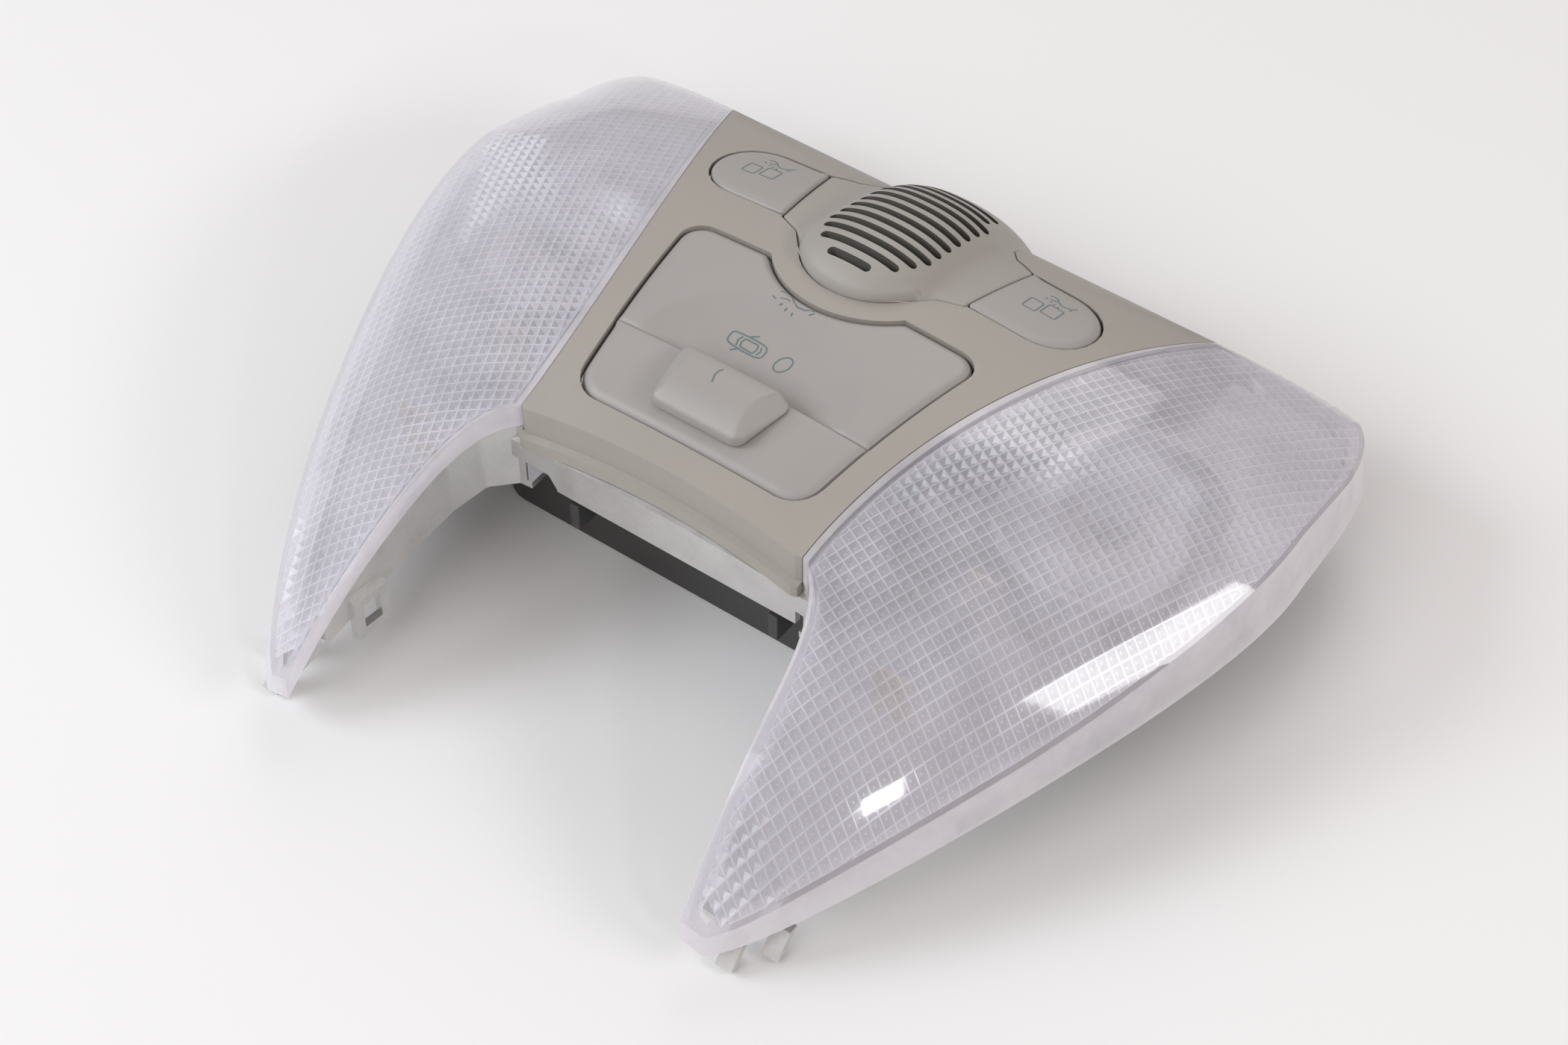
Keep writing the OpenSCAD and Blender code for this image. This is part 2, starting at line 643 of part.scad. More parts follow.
// Reading bulb with its holder, and the tubular bulb with its two clips.
module spot_bulb() {
    translate([spot_x, spot_y, 0]) rotate_extrude() polygon([[0, 26.5], [3, 26.5], [3, 28],
        [3.4, 29], [4.6, 31], [5, 33], [4.6, 35], [3.4, 36.6], [1.8, 37.4], [0, 37.6]]);
}
module spot_bulb_left() {
    color([0.9, 0.9, 0.92, 0.5]) mirror([1, 0, 0]) spot_bulb();
}
module spot_bulb_right() {
    color([0.9, 0.9, 0.92, 0.5]) spot_bulb();
}
module bulb_holder() {
    translate([spot_x, spot_y, 20.5]) difference() {
        union() {
            cylinder(r = 7.1, h = 5);
            cylinder(r = 5, h = 7);
            cylinder(r = 8.6, h = 1.8);
        }
        translate([0, 0, 6]) cylinder(r = 3, h = 2);
    }
}
module bulb_holder_left() {
    color([0.86, 0.85, 0.8]) mirror([1, 0, 0]) bulb_holder();
}
module bulb_holder_right() {
    color([0.86, 0.85, 0.8]) bulb_holder();
}
module festoon_bulb() {
    translate([festoon_x, festoon_y - festoon_len / 2, festoon_z]) rotate([-90, 0, 0])
        rotate_extrude() polygon([[0, 0], [1.2, 0], [3, 1.6], [3.6, 2], [3.6, 5],
            [festoon_r, 5.6], [festoon_r, festoon_len - 5.6], [3.6, festoon_len - 5],
            [3.6, festoon_len - 2], [3, festoon_len - 1.6], [1.2, festoon_len], [0, festoon_len]]);
}
module festoon_bulb_left() {
    color([0.9, 0.9, 0.92, 0.5]) mirror([1, 0, 0]) festoon_bulb();
}
module festoon_bulb_right() {
    color([0.9, 0.9, 0.92, 0.5]) festoon_bulb();
}
module festoon_clips() {
    for (e = [-1, 1]) translate([festoon_x, festoon_y + e * (festoon_len / 2 + 0.4), 0])
        difference() {
            translate([-3.4, -0.4, e < 0 ? house_z - 0.5 : house_z + house_t])
                cube([6.8, 0.8, festoon_z + 3 - (e < 0 ? house_z - 0.5 : house_z + house_t)]);
            translate([0, 0, festoon_z]) rotate([90, 0, 0]) cylinder(r = 1.2, h = 4, center = true);
        }
}
module festoon_clips_left() {
    color([0.78, 0.72, 0.55]) mirror([1, 0, 0]) festoon_clips();
}
module festoon_clips_right() {
    color([0.78, 0.72, 0.55]) festoon_clips();
}

// Screws from the base up into the housing.
module housing_screws() {
    color([0.7, 0.7, 0.72]) for (s = [-1, 1], p = screw_pts) translate([s * p[0], p[1], 0]) {
        translate([0, 0, 3]) cylinder(r = screw_r - 0.02, h = base_h + 1.5);
        translate([0, 0, 1]) difference() {
            cylinder(r = 3, h = 2);
            translate([-2, -0.3, -1]) cube([4, 0.6, 1.8]);
            translate([-0.3, -2, -1]) cube([0.6, 4, 1.8]);
        }
    }
}

front_panel();
switch_plate();
slider_track();
slide_knob();
button_left();
button_right();
grille_cover();
lens_left();
lens_right();
reflector_housing();
rear_base();
circuit_board();
slide_switch();
push_switch_left();
push_switch_right();
microphone_capsule();
connector_socket();
connector_pins();
spot_bulb_left();
spot_bulb_right();
bulb_holder_left();
bulb_holder_right();
festoon_bulb_left();
festoon_bulb_right();
festoon_clips_left();
festoon_clips_right();
housing_screws();
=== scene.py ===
"""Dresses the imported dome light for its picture: lenses, trims, grille, icons, stage and lights.

Lengths are in millimetres, apart from the camera, the stage and the lights, which are in metres.
"""
import math

import bpy
import numpy as np
from mathutils import Matrix, Vector
from mathutils.bvhtree import BVHTree
from mathutils.geometry import delaunay_2d_cdt


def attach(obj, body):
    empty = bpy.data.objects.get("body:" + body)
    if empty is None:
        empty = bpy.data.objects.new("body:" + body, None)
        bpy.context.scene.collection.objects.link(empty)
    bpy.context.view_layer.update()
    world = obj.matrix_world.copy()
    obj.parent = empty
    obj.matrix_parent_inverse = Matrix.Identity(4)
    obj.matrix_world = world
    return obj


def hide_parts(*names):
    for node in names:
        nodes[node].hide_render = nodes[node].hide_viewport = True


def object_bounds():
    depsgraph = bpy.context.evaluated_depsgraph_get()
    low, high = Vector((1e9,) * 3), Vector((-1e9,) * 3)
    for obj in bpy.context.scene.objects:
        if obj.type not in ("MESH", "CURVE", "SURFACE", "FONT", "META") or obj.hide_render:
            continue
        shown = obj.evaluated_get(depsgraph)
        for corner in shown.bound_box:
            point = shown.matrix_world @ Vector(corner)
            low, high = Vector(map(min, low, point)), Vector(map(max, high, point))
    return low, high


MM = 0.001
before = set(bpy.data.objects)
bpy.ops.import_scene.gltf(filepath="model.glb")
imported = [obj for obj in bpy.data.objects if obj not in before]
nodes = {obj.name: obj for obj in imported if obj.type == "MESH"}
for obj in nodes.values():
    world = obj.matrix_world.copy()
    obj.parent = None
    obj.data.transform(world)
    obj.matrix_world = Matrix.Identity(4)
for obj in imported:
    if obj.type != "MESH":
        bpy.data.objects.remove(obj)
cad_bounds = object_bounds()
scene = bpy.context.scene
scene.view_settings.view_transform = "Standard"


def add_camera():
    """The photo's viewpoint: its place and the directions of its right, up and back."""
    data = bpy.data.cameras.new("photo_camera")
    data.lens = 76.0
    data.sensor_width = 36.0
    data.clip_start = 0.02
    data.clip_end = 20.0
    cam = bpy.data.objects.new("photo_camera", data)
    scene.collection.objects.link(cam)
    right = Vector((0.80635, 0.59144, 0.0))
    up = Vector((-0.43632, 0.59485, 0.67512))
    back = Vector((0.39929, -0.54438, 0.73771))
    rot = Matrix((right, up, back)).transposed().to_4x4()
    cam.matrix_world = Matrix.Translation((0.24537, -0.32516, 0.45576)) @ rot
    scene.camera = cam


add_camera()

# The crowned face, as in the part's source: a long arc that ends in the rear roll.
CREST_Z, CREST_Y, FACE_R, CROWN_R, ROLL_R = 51.4, 11.0, 137.0, 400.0, 41.5
REAR_Y, TIP_Y = 79.0, -78.6
AXIS_Z = CREST_Z - FACE_R
ROLL_Y = REAR_Y - ROLL_R
ROLL_SIN = (ROLL_Y - CREST_Y) / (FACE_R - ROLL_R)
ROLL_Z = AXIS_Z + (FACE_R - ROLL_R) * math.sqrt(1 - ROLL_SIN * ROLL_SIN)

# Lower rim of the lenses, front notch, and the seam between the panel and a lens.
ARCH_R, ARCH_Y, RIM_Z = 338.0, 20.0, 19.5
NOTCH_Y, NOTCH_X, GAP = -26.6, 30.2, 0.3
SEAM_REACH, SEAM_RUN, SEAM_POWER = 29.4, 105.6, 1.6
SEAM_END = REAR_Y - 5

# Rows of the right lens from tip to rear: the wing ends at WING, the side at SIDE, the rear
# corner at CORNER. COLS counts the columns across it. Columns are cut into FINE, rows into CUTS.
WING, SIDE, CORNER, ROWS, COLS, FINE = 12, 26, 36, 38, 12, 4
BEND = WING / 2
TOPS = COLS * FINE
CUTS = 4
INNER_TIP, INNER_BEND = [43.4, TIP_Y], [39.4, -46]
WING_CURVE = [INNER_BEND, [38, -35], [34.8, -29], [NOTCH_X, NOTCH_Y - 0.3]]
SIDE_CURVE = [[47.4, -77.8], [58, -71.5], [94.4, 3], [90.4, 38]]
CORNER_CURVE = [[90.4, 38], [88.6, 68], [88, 77.3], [66, 77.3]]
REAR_LINE_Y, REAR_INSET = 77.4, 2.4

# Section of a lens: wall, foot at the seam, draft of its outer wall, and the roll of its rim,
# which eases out over the last rows.
LENS_T, SEAM_T, FLANGE, DRAFT, REAR_FOOT = 2.0, 1.1, 5.0, 1.2, 3
FOOT_STEPS = (0.5, 0.12)
FOOT_ROWS = 1 + len(FOOT_STEPS)
RIM_STEPS = (0.1, 0.35, 0.7, 1.0)
RIM_BAND, RIM_FALL = 20, 0.009
EASE_FROM, EASE_ROWS = 29, 5


def face_z(x, y, off=0.0):
    """Height of the crowned face, or of the surface at a depth of off under it."""
    rad = FACE_R - x * x / (2 * CROWN_R) - off
    z = AXIS_Z + math.sqrt(max(0.0, rad * rad - (y - CREST_Y) ** 2))
    if y >= CREST_Y + (FACE_R - off) * ROLL_SIN:
        z = min(z, ROLL_Z + math.sqrt(max(0.0, (ROLL_R - off) ** 2 - (y - ROLL_Y) ** 2)))
    return z


def seam_x(y):
    return NOTCH_X + SEAM_REACH * max(0.0, (y - NOTCH_Y) / SEAM_RUN) ** SEAM_POWER


def arch_z(y):
    return RIM_Z - (y - ARCH_Y) ** 2 / (2 * ARCH_R)


def droop(y):
    """How strongly a lens falls away from the face as it leaves the seam."""
    return max(0.001, min(0.0085, 0.0035 - 0.00007 * y))


def mix(a, b, t):
    return np.array(a, float) * (1 - t) + np.array(b, float) * t


def bez(p, t):
    a, b, c, d = (np.array(q, float) for q in p)
    return (1 - t) ** 3 * a + 3 * (1 - t) ** 2 * t * b + 3 * (1 - t) * t * t * c + t ** 3 * d


def unit(v):
    v = np.array(v, float)
    return v / np.linalg.norm(v)


def inner_edge(k):
    """Plan point of the lens edge on the seam side, at row k."""
    if k < BEND:
        return mix(INNER_TIP, INNER_BEND, k / BEND)
    if k < WING:
        return bez(WING_CURVE, (k - BEND) / (WING - BEND))
    y = NOTCH_Y + (SEAM_END - NOTCH_Y) * (k - WING) / (ROWS - WING)
    return np.array([seam_x(y) + GAP / 2, y])


def outer_edge(k):
    """Plan point of the lens edge on the outside, at row k."""
    if k < SIDE:
        return bez(SIDE_CURVE, (k / SIDE) ** 0.85)
    if k < CORNER:
        return bez(CORNER_CURVE, (k - SIDE) / (CORNER - SIDE))
    rear = [seam_x(REAR_LINE_Y) + REAR_INSET, REAR_LINE_Y]
    return mix(CORNER_CURVE[3], rear, (k - CORNER) / (ROWS - CORNER))


def span(k):
    return float(np.linalg.norm(outer_edge(k) - inner_edge(k)))


def across(k):
    return unit(outer_edge(k) - inner_edge(k))


def outward(k):
    v = unit(outer_edge(min(ROWS, k + 0.4)) - outer_edge(max(0, k - 0.4)))
    return np.array([v[1], -v[0]])


def rear_ease(k):
    """Fades the roll of the rim out towards the rear corner."""
    return RIM_BAND * min(1.0, max(0.0, (k - EASE_FROM) / EASE_ROWS))


def lens_z(x, y, d):
    """Height of the lens at a point that is d away from its outer edge."""
    return (face_z(x, y) - droop(y) * max(0.0, x - seam_x(y)) ** 2
            - RIM_FALL * max(0.0, RIM_BAND - d) ** 2)


def lens_top(k, t):
    p = mix(inner_edge(k), outer_edge(k), t)
    return np.array([p[0], p[1], lens_z(p[0], p[1], (1 - t) * span(k) + rear_ease(k))])


def normal(x, y):
    return unit([face_z(x - 0.5, y) - face_z(x + 0.5, y),
                 face_z(x, y - 0.5) - face_z(x, y + 0.5), 1.0])


def ease(j):
    """Share of the way across at column j, denser towards the outer edge."""
    return 1 - (1 - j / TOPS) ** 1.2


def row_out(k):
    """Outer skin of a row: foot, top, then down the outer wall to the rim."""
    a, c, n = lens_top(k, 0), lens_top(k, 1), outward(k)
    g = normal(a[0], a[1])
    if k < WING:
        foot = a - FLANGE * np.array([0, 0, 1.0])
    else:
        f = min(1.0, k - WING)
        foot = a - (FLANGE + (REAR_FOOT - FLANGE) * f) * unit([0, g[1] * f, 1 - f + g[2] * f])
    rows = [foot] + [a + (foot - a) * q for q in FOOT_STEPS]
    rows += [lens_top(k, ease(j)) for j in range(TOPS + 1)]
    low = arch_z(c[1])
    for q in RIM_STEPS:
        rows.append(np.array([c[0] + n[0] * DRAFT * q, c[1] + n[1] * DRAFT * q,
                              c[2] + (low - c[2]) * q]))
    return rows


def row_in(k):
    """Inner skin of a row, point for point under the outer one."""
    o = row_out(k)
    u, w, n = across(k), span(k), outward(k)
    f, s = min(SEAM_T, 0.27 * w), min(LENS_T, 0.3 * w)
    low = min(LENS_T, 0.3 * (lens_top(k, 1)[2] - o[-1][2]))

    def under(q, e):
        p = inner_edge(k) + u * q
        z = lens_z(p[0], p[1], w - q + rear_ease(k))
        return np.array([p[0], p[1], z]) - (LENS_T + (low - LENS_T) * e) * normal(p[0], p[1])

    top = under(f, 0)
    foot = np.array([o[0][0] + u[0] * f, o[0][1] + u[1] * f, o[0][2]])
    rows = [foot] + [foot + (top - foot) * (1 - q) for q in FOOT_STEPS]
    rows += [under(f + (w - s - f) * ease(j), j / TOPS) for j in range(TOPS + 1)]
    last = rows[-1]
    d = outer_edge(k) + n * DRAFT - u * s
    rim = np.array([d[0], d[1], o[-1][2]])
    return rows + [last + (rim - last) * q for q in RIM_STEPS]


def split_edges(obj, degrees):
    """Keeps edges sharper than this angle crisp under smooth shading."""
    obj.modifiers.new("edges", "EDGE_SPLIT").split_angle = math.radians(degrees)


def new_mesh(name, verts, faces, mats, body, smooth=True, index=None, flip=False):
    """A piece that rides on a body; flip mirrors it to the other side."""
    co = np.array(verts, float)
    if flip:
        co = co * np.array([-1, 1, 1.0])
        faces = [tuple(reversed(f)) for f in faces]
    mesh = bpy.data.meshes.new(name)
    mesh.from_pydata([tuple(v * MM) for v in co], [], faces)
    mesh.update()
    for m in mats:
        mesh.materials.append(m)
    mesh.polygons.foreach_set("use_smooth", [smooth] * len(mesh.polygons))
    if index is not None:
        mesh.polygons.foreach_set("material_index", index)
    obj = bpy.data.objects.new(name, mesh)
    scene.collection.objects.link(obj)
    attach(obj, body)
    return obj


# Material indices of a lens shell, and how far its milky border reaches in from the seam.
CLEAR, WALL, EDGE = 0, 1, 2
BORDER_W = 1.9


def lens_shell():
    """Closed shell of the right lens, with the quads of its top for the prisms to hang under."""
    ks = [i / CUTS for i in range(ROWS * CUTS + 1)]
    outer = [row_out(k) for k in ks]
    inner = [row_in(min(ROWS - 0.8, max(0.45, k))) for k in ks]
    m, n = len(outer[0]), len(ks)
    h = n * m
    faces, index, top = [], [], []
    for i in range(n - 1):
        for j in range(m - 1):
            a = i * m + j
            faces.append((a, a + m, a + m + 1, a + 1))
            on_top = FOOT_ROWS <= j < TOPS + FOOT_ROWS
            if on_top:
                top.append(faces[-1])
            faces.append((h + a, h + a + 1, h + a + m + 1, h + a + m))
            d = ease(j - FOOT_ROWS) * span(ks[i]) if on_top else 0.0
            index += [CLEAR if d > BORDER_W else EDGE if d > 0 else WALL] * 2
        faces.append((i * m, h + i * m, h + (i + 1) * m, (i + 1) * m))
        b = i * m + m - 1
        faces.append((b, b + m, h + b + m, h + b))
        index += [WALL] * 2
    # the end wall at the tip, then the one at the rear
    faces += [tuple(range(m)), tuple(reversed(range(h, h + m))), (0, m - 1, h + m - 1, h)]
    for b in range((n - 1) * m, n * m - 1):
        faces.append((b, h + b, h + b + 1, b + 1))
    index += [WALL] * (3 + m - 1)
    return [p for r in outer + inner for p in r], faces, index, top


# Prism field of a lens: square cells in a turned grid, each a low pyramid under the lens top.
CELL, TURN = 2.0, math.radians(22)
CELLS_OUT = 80
FIELD_X, FIELD_Y = (28, 93), (-80, 79)
PRISM_RINGS = ((1.0, 0.62), (0.88, 0.62), (0.16, 1.3))  # share of the cell, depth under the top
SMALLEST_CELL = 0.25


def field_outline():
    ks = np.linspace(1.0, 37.0, 181)
    a = [inner_edge(k) + across(k) * min(2.0, 0.3 * span(k)) for k in ks]
    b = [outer_edge(k) - outward(k) * min(0.6, 0.1 * span(k)) for k in ks]
    return np.array(a + b[::-1])


def inside(poly, p):
    x, y = p
    a, b = poly, np.roll(poly, -1, axis=0)
    cross = (a[:, 1] > y) != (b[:, 1] > y)
    with np.errstate(divide="ignore", invalid="ignore"):
        at = (b[:, 0] - a[:, 0]) * (y - a[:, 1]) / (b[:, 1] - a[:, 1]) + a[:, 0]
    return bool(np.count_nonzero(cross & (x < at)) % 2)


def clip_cell(cell, poly):
    """The part of a cell that lies inside the outline, cut along the nearest stretch of it."""
    mid = np.mean(cell, axis=0)
    a, b = poly, np.roll(poly, -1, axis=0)
    d = b - a
    t = np.clip(np.sum((mid - a) * d, axis=1) / np.sum(d * d, axis=1), 0, 1)
    near = a + d * t[:, None]
    i = int(np.argmin(np.sum((near - mid) ** 2, axis=1)))
    if np.linalg.norm(near[i] - mid) > CELL:
        return cell if inside(poly, mid) else None
    v = unit(d[i])
    n = np.array([-v[1], v[0]])
    if not inside(poly, near[i] + n * 0.02):
        n = -n
    out = []
    for p, q in zip(cell, cell[1:] + cell[:1]):
        sp, sq = np.dot(p - near[i], n), np.dot(q - near[i], n)
        if sp >= 0:
            out.append(p)
        if (sp >= 0) != (sq >= 0):
            out.append(p + (q - p) * sp / (sp - sq))
    if len(out) < 3:
        return None
    area = 0.5 * abs(sum(p[0] * q[1] - q[0] * p[1] for p, q in zip(out, out[1:] + out[:1])))
    return out if area > SMALLEST_CELL else None


def prism_sheet(tree):
    poly = field_outline()
    u = np.array([math.cos(TURN), -math.sin(TURN)])
    v = np.array([math.sin(TURN), math.cos(TURN)])
    verts, faces, index = [], [], []

    def put(p, depth):
        hit = tree.ray_cast(Vector((p[0], p[1], 90)), Vector((0, 0, -1)))
        if hit[0] is None:
            hit = tree.find_nearest(Vector((p[0], p[1], lens_z(p[0], p[1], RIM_BAND))))
        verts.append(np.array(hit[0]) - depth * np.array(hit[1] if hit[1].z > 0 else -hit[1]))
        return len(verts) - 1

    for i in range(-CELLS_OUT, CELLS_OUT + 1):
        for j in range(-CELLS_OUT, CELLS_OUT + 1):
            mid = (i + 0.5) * CELL * u + (j + 0.5) * CELL * v
            if not (FIELD_X[0] < mid[0] < FIELD_X[1] and FIELD_Y[0] < mid[1] < FIELD_Y[1]):
                continue
            cell = clip_cell([(i + s) * CELL * u + (j + t) * CELL * v
                              for s, t in ((0, 0), (1, 0), (1, 1), (0, 1))], poly)
            if cell is None:
                continue
            m = np.mean(cell, axis=0)
            rings = [[put(m + (p - m) * share, depth) for p in cell]
                     for share, depth in PRISM_RINGS]
            # material 0 for the slopes, 1 for the groove between cells, 2 for the tip; 1 and 2 are
            # whiter copies of the prism plastic, painted highlights for the bright grooves and the
            # glint at each cell's centre
            for r in (0, 1):
                for a in range(len(cell)):
                    b = (a + 1) % len(cell)
                    faces.append((rings[r][a], rings[r][b], rings[r + 1][b], rings[r + 1][a]))
                    index.append(1 - r)
            faces.append(tuple(rings[2]))
            index.append(2)
    return verts, faces, index


# Materials.
ROUGH_VARY = 0.06
FINE_SHARE, WIDE_SHARE = 0.35, 0.65  # how much each noise adds to the drift of the colour


def tree_of(name):
    m = bpy.data.materials.new(name)
    m.use_nodes = True
    t = m.node_tree
    t.nodes.clear()
    return m, t, t.nodes.new("ShaderNodeOutputMaterial")


def feed(t, socket, value):
    """Sets an input to a plain value, or links it to another node's output."""
    if isinstance(value, bpy.types.NodeSocket):
        t.links.new(value, socket)
    else:
        socket.default_value = value


def math_node(t, operation, *values):
    n = t.nodes.new("ShaderNodeMath")
    n.operation = operation
    for socket, value in zip(n.inputs, values):
        feed(t, socket, value)
    return n.outputs[0]


def noise(t, coord, scale, detail):
    n = t.nodes.new("ShaderNodeTexNoise")
    n.inputs["Scale"].default_value = scale
    n.inputs["Detail"].default_value = detail
    n.inputs["Roughness"].default_value = 0.55
    t.links.new(coord.outputs["Object"], n.inputs["Vector"])
    return n.outputs["Fac"]


def span_map(t, src, lo, hi):
    """Spreads the middle of a noise, from 0.3 to 0.7, over lo to hi."""
    r = t.nodes.new("ShaderNodeMapRange")
    r.inputs["From Min"].default_value = 0.3
    r.inputs["From Max"].default_value = 0.7
    r.inputs["To Min"].default_value = lo
    r.inputs["To Max"].default_value = hi
    t.links.new(src, r.inputs["Value"])
    return r.outputs["Result"]


def blend_colour(t, fac, a, b):
    n = t.nodes.new("ShaderNodeMix")
    n.data_type = "RGBA"
    n.inputs["A"].default_value = (*a, 1)
    n.inputs["B"].default_value = (*b, 1)
    t.links.new(fac, n.inputs["Factor"])
    return n.outputs["Result"]


def mix_shader(t, fac, a, b):
    n = t.nodes.new("ShaderNodeMixShader")
    for socket, value in zip(n.inputs, (fac, a, b)):
        feed(t, socket, value)
    return n.outputs[0]


def lobe(t, kind, colour):
    n = t.nodes.new("ShaderNodeBsdf" + kind)
    n.inputs["Color"].default_value = (*colour, 1)
    return n


def plastic(name, colour, rough=0.5, metal=0.0, vary=0.06, grain=3200.0, bump=0.08,
            depth=0.00004, patch=60.0):
    """A moulded or metal finish: colour and gloss that drift a little, and a fine grain."""
    m, t, out = tree_of(name)
    p = t.nodes.new("ShaderNodeBsdfPrincipled")
    p.inputs["Metallic"].default_value = metal
    coord = t.nodes.new("ShaderNodeTexCoord")
    wide, fine = noise(t, coord, patch, 4.0), noise(t, coord, grain, 2.0)
    lo = tuple(c * (1 - vary) for c in colour)
    hi = tuple(min(1.0, c * (1 + vary)) for c in colour)
    drift = math_node(t, "MULTIPLY_ADD", fine, FINE_SHARE,
                      math_node(t, "MULTIPLY", wide, WIDE_SHARE))
    feed(t, p.inputs["Base Color"], blend_colour(t, span_map(t, drift, 0, 1), lo, hi))
    feed(t, p.inputs["Roughness"], span_map(t, wide, rough - ROUGH_VARY, rough + ROUGH_VARY))
    b = t.nodes.new("ShaderNodeBump")
    b.inputs["Strength"].default_value = bump
    b.inputs["Distance"].default_value = depth
    feed(t, b.inputs["Height"], fine)
    feed(t, p.inputs["Normal"], b.outputs["Normal"])
    feed(t, out.inputs["Surface"], p.outputs["BSDF"])
    return m


def clear_plastic(name, tint, body, haze, gloss_rough, edge):
    """Clear plastic: see-through, a sharp reflection, a milky body that shows at its edges."""
    m, t, out = tree_of(name)
    see = lobe(t, "Transparent", tint)
    shine = lobe(t, "Glossy", (1, 1, 1))
    shine.inputs["Roughness"].default_value = gloss_rough
    fill = mix_shader(t, 0.4, lobe(t, "Diffuse", body).outputs[0],
                      lobe(t, "Translucent", body).outputs[0])
    side = t.nodes.new("ShaderNodeLayerWeight")
    side.inputs["Blend"].default_value = 0.5
    facing = side.outputs["Facing"]
    reflect = math_node(t, "MULTIPLY_ADD", math_node(t, "POWER", facing, 5.0), 0.96, 0.04)
    cloud = noise(t, t.nodes.new("ShaderNodeTexCoord"), 90.0, 3.0)
    amount = math_node(t, "MULTIPLY_ADD", math_node(t, "POWER", facing, 2.0), edge,
                       span_map(t, cloud, haze * 0.8, haze * 1.2))
    body_mix = mix_shader(t, amount, see.outputs[0], fill)
    feed(t, out.inputs["Surface"], mix_shader(t, reflect, body_mix, shine.outputs[0]))
    return m


PANEL = plastic("panel_beige", (0.365, 0.334, 0.300), 0.52, grain=2600, bump=0.35,
                depth=0.00006, vary=0.035)
TRIM = plastic("trim_grey", (0.364, 0.339, 0.320), 0.46, grain=4200, bump=0.16, vary=0.03)
GRILLE = plastic("grille_beige", (0.364, 0.337, 0.308), 0.5, grain=3000, bump=0.25,
                 depth=0.00005, vary=0.035)
# Painted shade: near black on the floors of the grille's slots, in place of the shade inside the
# openings.
SLOT = plastic("slot_painted_shade", (0.105, 0.096, 0.085), 0.7, grain=3000, bump=0.2, vary=0.1)
SILVER = plastic("metallised", (0.66, 0.65, 0.64), 0.36, metal=0.9, grain=1500, bump=0.3,
                 depth=0.00005, vary=0.09, patch=160)
BLACK = plastic("base_black", (0.050, 0.048, 0.047), 0.5, grain=2200, bump=0.3, vary=0.15)
SWITCH = plastic("switch_black", (0.03, 0.03, 0.032), 0.42, grain=3500, bump=0.12, vary=0.15)
HOLDER = plastic("holder_white", (0.72, 0.70, 0.64), 0.4, grain=3500, bump=0.12, vary=0.04)
BOARD = plastic("board_green", (0.02, 0.12, 0.045), 0.32, grain=900, bump=0.1, vary=0.15)
CONTACT = plastic("contact_metal", (0.72, 0.58, 0.32), 0.26, metal=1.0, bump=0.1, vary=0.08)
CAPSULE = plastic("capsule_metal", (0.45, 0.45, 0.46), 0.3, metal=1.0, bump=0.1)
STEEL = plastic("screw_steel", (0.6, 0.6, 0.61), 0.28, metal=1.0, bump=0.15, vary=0.08)
INK = plastic("icon_ink", (0.13, 0.19, 0.19), 0.5, grain=5000, bump=0.1, vary=0.1)

# name, tint, milky body, haze, roughness of the reflection, extra body at steep angles
GLASS = clear_plastic("bulb_glass", (0.95, 0.95, 0.96), (0.8, 0.8, 0.82), 0.10, 0.03, 0.3)
LENS = clear_plastic("lens_clear", (0.98, 0.975, 0.99), (0.86, 0.85, 0.90), 0.07, 0.06, 0.3)
# Painted light: the walls and skirt get a whiter, milkier copy of the lens plastic, standing in
# for the white floor that the clear skirt reflects and scatters.
SKIRT = clear_plastic("lens_skirt_painted_light", (0.96, 0.955, 0.98), (0.90, 0.87, 0.895), 0.62, 0.08, 0.25)
BORDER = clear_plastic("lens_border", (0.97, 0.965, 0.985), (0.80, 0.785, 0.85), 0.3, 0.07, 0.3)
PRISM = clear_plastic("lens_prism", (1.0, 0.99, 1.0), (0.90, 0.885, 0.925), 0.6, 0.14, 0.2)
# Painted highlights: the groove and tip copies are whiter and milkier than the prism body, for the
# bright lines between cells and the glint at each centre.
PRISM_HIGHLIGHT_LINE = clear_plastic("lens_prism_line_painted_highlight", (0.97, 0.96, 0.985), (0.95, 0.94, 0.985),
                           0.85, 0.15, 0.2)
PRISM_GLINT_DOT = clear_plastic("lens_prism_dot_painted_glint", (0.97, 0.97, 1.0), (0.93, 0.925, 0.96),
                          0.85, 0.12, 0.2)

# The source's own nodes that stay in view, and the radius that softens the edges of some.
FINISH = {
    "front_panel": PANEL, "slide_knob": TRIM, "reflector_housing": SILVER, "rear_base": BLACK,
    "circuit_board": BOARD, "slide_switch": SWITCH, "push_switch_left": SWITCH,
    "push_switch_right": SWITCH, "microphone_capsule": CAPSULE, "connector_socket": SWITCH,
    "connector_pins": CONTACT, "spot_bulb_left": GLASS, "spot_bulb_right": GLASS,
    "bulb_holder_left": HOLDER, "bulb_holder_right": HOLDER, "festoon_bulb_left": GLASS,
    "festoon_bulb_right": GLASS, "festoon_clips_left": CONTACT,
    "festoon_clips_right": CONTACT, "housing_screws": STEEL,
}
ROUND = {"front_panel": 0.4, "reflector_housing": 0.2, "rear_base": 0.25}


def melt(obj):
    """Soft moulded form: a fine remesh, then smoothed."""
    fine = obj.modifiers.new("melt", "REMESH")
    fine.mode = "VOXEL"
    fine.voxel_size = 0.25 * MM
    fine.use_smooth_shade = True
    relax = obj.modifiers.new("relax", "SMOOTH")
    relax.factor = 0.5
    relax.iterations = 22


def soften(obj, radius):
    bevel = obj.modifiers.new("round", "BEVEL")
    bevel.width = radius * MM
    bevel.segments = 3
    bevel.limit_method = "ANGLE"
    bevel.angle_limit = math.radians(38)
    bevel.harden_normals = False


